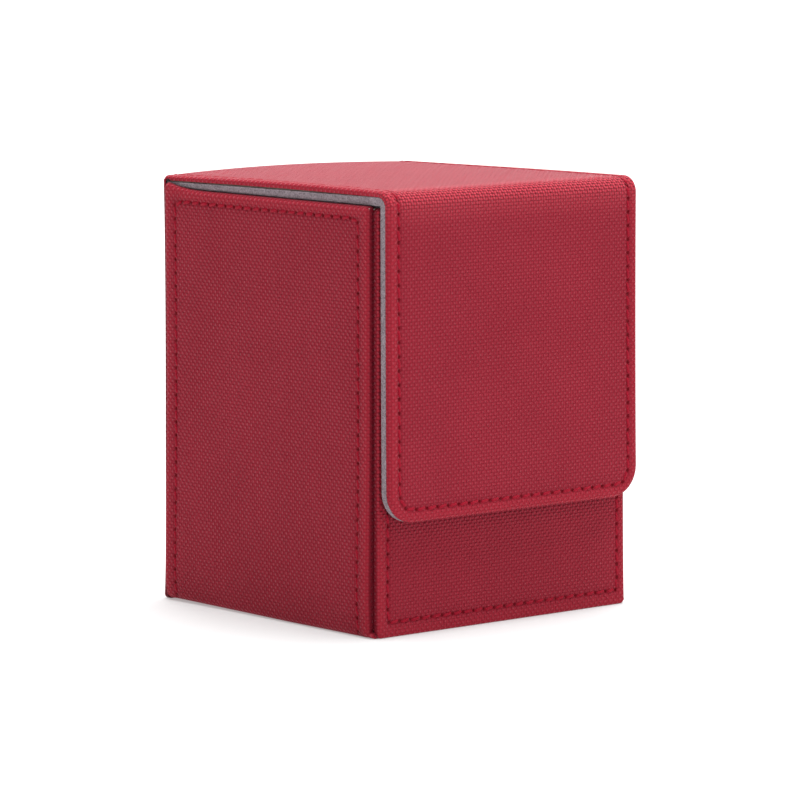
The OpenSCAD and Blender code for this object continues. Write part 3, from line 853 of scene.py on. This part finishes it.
wrap_seams = (side_seams(-1), side_seams(1))
front_edge = [(TOP_U, SIDE_FRONT_V, 1.25), (STEP_U, SIDE_FRONT_V, 0), (STEP_U, BASE_FRONT_V, 0.7)]
wrap_corners = ear(1) + front_edge + [(-u, v, r) for u, v, r in reversed(front_edge)] + ear(-1)
first_step = len(ear(1)) + 1
tight_sides = list(range(first_step, first_step + 3))
bend_lines = lines(BEND_U, SIDE_U, 0.3)
wrap_grid = sorted([-u for u in bend_lines] + bend_lines + lines(-BEND_U + GRID, BEND_U - GRID, GRID)
                   + [s * u for s in (-1, 1) for u in lines(SIDE_U + 1.5, TOP_U - 1, GRID)])


def wrap_depth(u, v):
    """How deep the wrap's turned edge goes: shallow on the ears, which pass the lid, and on the bend."""
    over = np.abs(u)
    upright = np.where(v > SIDE_FRONT_V - 2, EDGE_DEPTH + FLARE, EDGE_DEPTH)
    past_ear = np.clip((v - SIDE_BACK_V - EAR_LEN / 2) / 7, 0, 1)
    beside_lid = EAR_DEPTH + (EDGE_DEPTH - EAR_DEPTH) * past_ear
    ear_part = (over > TOP_U - 2) & (v < SIDE_BACK_V + EAR_LEN)
    return np.where(ear_part, beside_lid, np.where(over > SIDE_U + 1, upright, BEND_DEPTH))


wrap_skin = sheet("side_and_base_leatherette", wrap_corners, wrap, turned_edge(WRAP_R, EDGE_DEPTH + FLARE),
                  SKIN, [RED], seams=wrap_seams, grid_u=wrap_grid,
                  grid_v=lines(SIDE_BACK_V, BASE_FRONT_V, GRID), depth_at=wrap_depth, tight=tight_sides)

TRAY_FOOT_R, TRAY_RIM_R = 1.2, 0.55  # rounding of the tray's lining at the floor and over the rim
TRAY_CORNER = 1.6  # rounding of its upright corners
INNER_X = ROOM_X - LINING
RIM_TOP = WALL_Z - 0.05 - FLOOR_Z
RIM_OUT = TRAY_X + 0.1 - INNER_X
tray_profile = [(TRAY_FOOT_R * (1 - math.sin(a)), TRAY_FOOT_R * (1 - math.cos(a)))
                for a in np.linspace(0, math.pi / 2, 6)]
tray_profile += [(0, h) for h in np.linspace(20, RIM_TOP - TRAY_RIM_R, 4)]
tray_profile += [(-TRAY_RIM_R * (1 - math.cos(a)), RIM_TOP - TRAY_RIM_R * (1 - math.sin(a)))
                 for a in np.linspace(0.3, math.pi / 2, 5)]
tray_profile += [(-RIM_OUT + 0.3, RIM_TOP), (-RIM_OUT + 0.06, RIM_TOP - 0.12)]
INNER_Y0, INNER_Y1 = ROOM_Y0 + LINING, ROOM_Y1 - LINING
tray_corners = [(-INNER_X, INNER_Y0, TRAY_CORNER), (INNER_X, INNER_Y0, TRAY_CORNER),
                (INNER_X, INNER_Y1, TRAY_CORNER), (-INNER_X, INNER_Y1, TRAY_CORNER)]
tray_lining = sheet("tray_microfibre", tray_corners, tray, tray_profile, 0.42, [GREY],
                    grid_u=lines(-INNER_X, INNER_X, GRID), grid_v=lines(INNER_Y0, INNER_Y1, GRID))


def lid_core():
    """The lid's outer board, under the leatherette and bowed with it."""
    xs = np.linspace(low("lid_board", "x") + 0.1, high("lid_board", "x") - 0.1, 12)
    ys = np.linspace(low("lid_board", "y"), high("lid_board", "y") - 0.1, 12)
    x, y = (a.ravel() for a in np.meshgrid(xs, ys))
    top = TOP_Z - SKIN - 0.06 + lid_lift(x, y, 1)
    bottom = np.minimum(LID_LAYER + 0.02, top - 0.1)
    co = np.concatenate([np.stack([x, y, top], 1), np.stack([x, y, bottom], 1)])
    across, under = len(xs), len(x)
    faces = []
    for j in range(len(ys) - 1):
        for i in range(across - 1):
            a = j * across + i
            faces.append([a, a + 1, a + across + 1, a + across])
            faces.append([k + under for k in reversed(faces[-1])])
    first, last = list(range(across)), list(range(under - across, under))
    left, right = list(range(0, under, across)), list(range(across - 1, under, across))
    for row in (first[::-1], right[::-1], last, left):
        faces += [[a, b, b + under, a + under] for a, b in zip(row, row[1:])]
    return make("lid_core", co, faces, co[:, :2], {}, [BOARD])


lid_board = lid_core()


# ---------------------------------------------------------------- threads
def sewn(run, s0=-math.inf, s1=math.inf):
    """The stitches of a seam whose middles lie from s0 to s1 along the sheet."""
    holes = run[0]
    return [(a, b) for a, b in zip(holes, holes[1:]) if s0 <= (a[1] + b[1]) / 2 < s1]


flap_thread = stitches("flap_stitches", sewn(cover_run, 0, S_FOLD - 1.5), cover, SEWN)
fold_thread = stitches("fold_stitches", sewn(cover_run, S_FOLD - 1.5, S_LID + 1.5), cover, SEWN)
lid_thread = stitches("lid_stitches", sewn(cover_run, S_LID + 1.5, S_TURN - 1.6), cover, SEWN)
turn_thread = stitches("spine_upper_stitches", sewn(cover_run, S_TURN - 1.6, KNOT_S), cover, SEWN)
hinge_thread = stitches("spine_lower_stitches", sewn(back_run, KNOT_S, KNOT_S + PITCH), cover, SEWN)
back_thread = stitches("back_stitches", sewn(back_run, KNOT_S + PITCH, S_FOOT), cover, SEWN)
front_thread = stitches("front_stitches", sewn(front_run), front_face, SEWN)
left_thread = stitches("left_stitches", sewn(wrap_seams[0]), wrap, SEWN)
right_thread = stitches("right_stitches", sewn(wrap_seams[1]), wrap, SEWN)

# ---------------------------------------------------------------- what each piece rides on; the CAD nodes under the pieces are hidden
for piece in (back_skin, front_skin, wrap_skin, tray_lining,
              back_thread, front_thread, left_thread, right_thread):
    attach(piece, "box")
for piece in (lid_skin, lid_lining, lid_thread, lid_board):
    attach(piece, "lid")
for piece in (flap_skin, flap_lining, flap_thread):
    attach(piece, "flap")


for piece in (spine_low, hinge_thread):
    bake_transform(piece)
for piece in (spine_top, turn_thread):
    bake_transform(piece)
for piece in (fold_skin, fold_thread):
    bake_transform(piece)
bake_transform(fold_lining)

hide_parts("left_skin", "right_skin", "base_skin")
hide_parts("front_skin")
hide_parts("back_skin")
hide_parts("hinge_spine")
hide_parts("hinge_spine")
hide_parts("lid_skin")
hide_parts("lid_board")
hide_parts("flap_skin")
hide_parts("flap_fold_skin")
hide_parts("flap_fold_lining")
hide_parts("lid_lining")
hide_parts("flap_lining")
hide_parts("floor_lining", "front_lining", "back_lining", "left_lining", "right_lining")
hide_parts("front_seam")
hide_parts("back_seam")
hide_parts("left_seam")
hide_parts("right_seam")
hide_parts("lid_seam")
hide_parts("flap_seam")

for name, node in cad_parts.items():
    finish = NICKEL if name.endswith("magnets") else BOARD
    node.data.materials.clear()
    node.data.materials.append(finish)


# ---------------------------------------------------------------- floor, light and camera
def plain_floor():
    """A pale floor that gives off a little light, so that the box's shadow stays faint."""
    t = Tree("floor_paint")
    place_of = t.add("ShaderNodeTexCoord").outputs["Object"]
    colour = t.mix(t.noise(3.0, 2, 0.5, place_of), (0.50, 0.50, 0.50, 1), (0.52, 0.52, 0.52, 1))
    t.link(colour, t.shader.inputs["Base Color"])
    t.shader.inputs["Roughness"].default_value = 0.9
    t.shader.inputs["Specular IOR Level"].default_value = 0.0
    t.shader.inputs["Emission Color"].default_value = (1, 1, 1, 1)
    t.shader.inputs["Emission Strength"].default_value = 0.34
    half = 30.0
    mesh = bpy.data.meshes.new("floor")
    corners = [(-half, -half, 0), (half, -half, 0), (half, half, 0), (-half, half, 0)]
    mesh.from_pydata(corners, [], [(0, 1, 2, 3)])
    mesh.materials.append(t.material)
    obj = bpy.data.objects.new("floor", mesh)
    bpy.context.scene.collection.objects.link(obj)


def softlight(name, towards, strength, spread):
    """A very large soft light, far off."""
    light = bpy.data.lights.new(name, "SUN")
    light.energy = strength
    light.angle = math.radians(spread)
    obj = bpy.data.objects.new(name, light)
    bpy.context.scene.collection.objects.link(obj)
    obj.rotation_euler = Vector(towards).to_track_quat("Z", "Y").to_euler()


plain_floor()
world = bpy.data.worlds.new("studio")
bpy.context.scene.world = world
world.use_nodes = True
world.node_tree.nodes["Background"].inputs["Color"].default_value = (1, 1, 1, 1)
world.node_tree.nodes["Background"].inputs["Strength"].default_value = 0.36
softlight("overhead", (0.16, 0.02, 1.0), 5.2, 50)
softlight("behind", (0.60, 0.75, 0.36), 1.0, 50)
softlight("front", (0.40, -0.90, 0.30), 0.5, 60)

AZIMUTH, ELEVATION, DISTANCE = math.radians(-40.85), math.radians(6.927), 1.0977
target = Vector((0.0, -0.0003, 0.0481))
back = Vector((math.sin(AZIMUTH) * math.cos(ELEVATION), -math.cos(AZIMUTH) * math.cos(ELEVATION),
               math.sin(ELEVATION)))
lens = bpy.data.cameras.new("camera")
lens.sensor_width = 36
lens.lens = 209.5
lens.clip_start = 0.05
camera = bpy.data.objects.new("camera", lens)
bpy.context.scene.collection.objects.link(camera)
camera.location = target + back * DISTANCE
camera.rotation_euler = (-back).to_track_quat("-Z", "Y").to_euler()
bpy.context.scene.camera = camera
bpy.context.scene.view_settings.view_transform = "Standard"
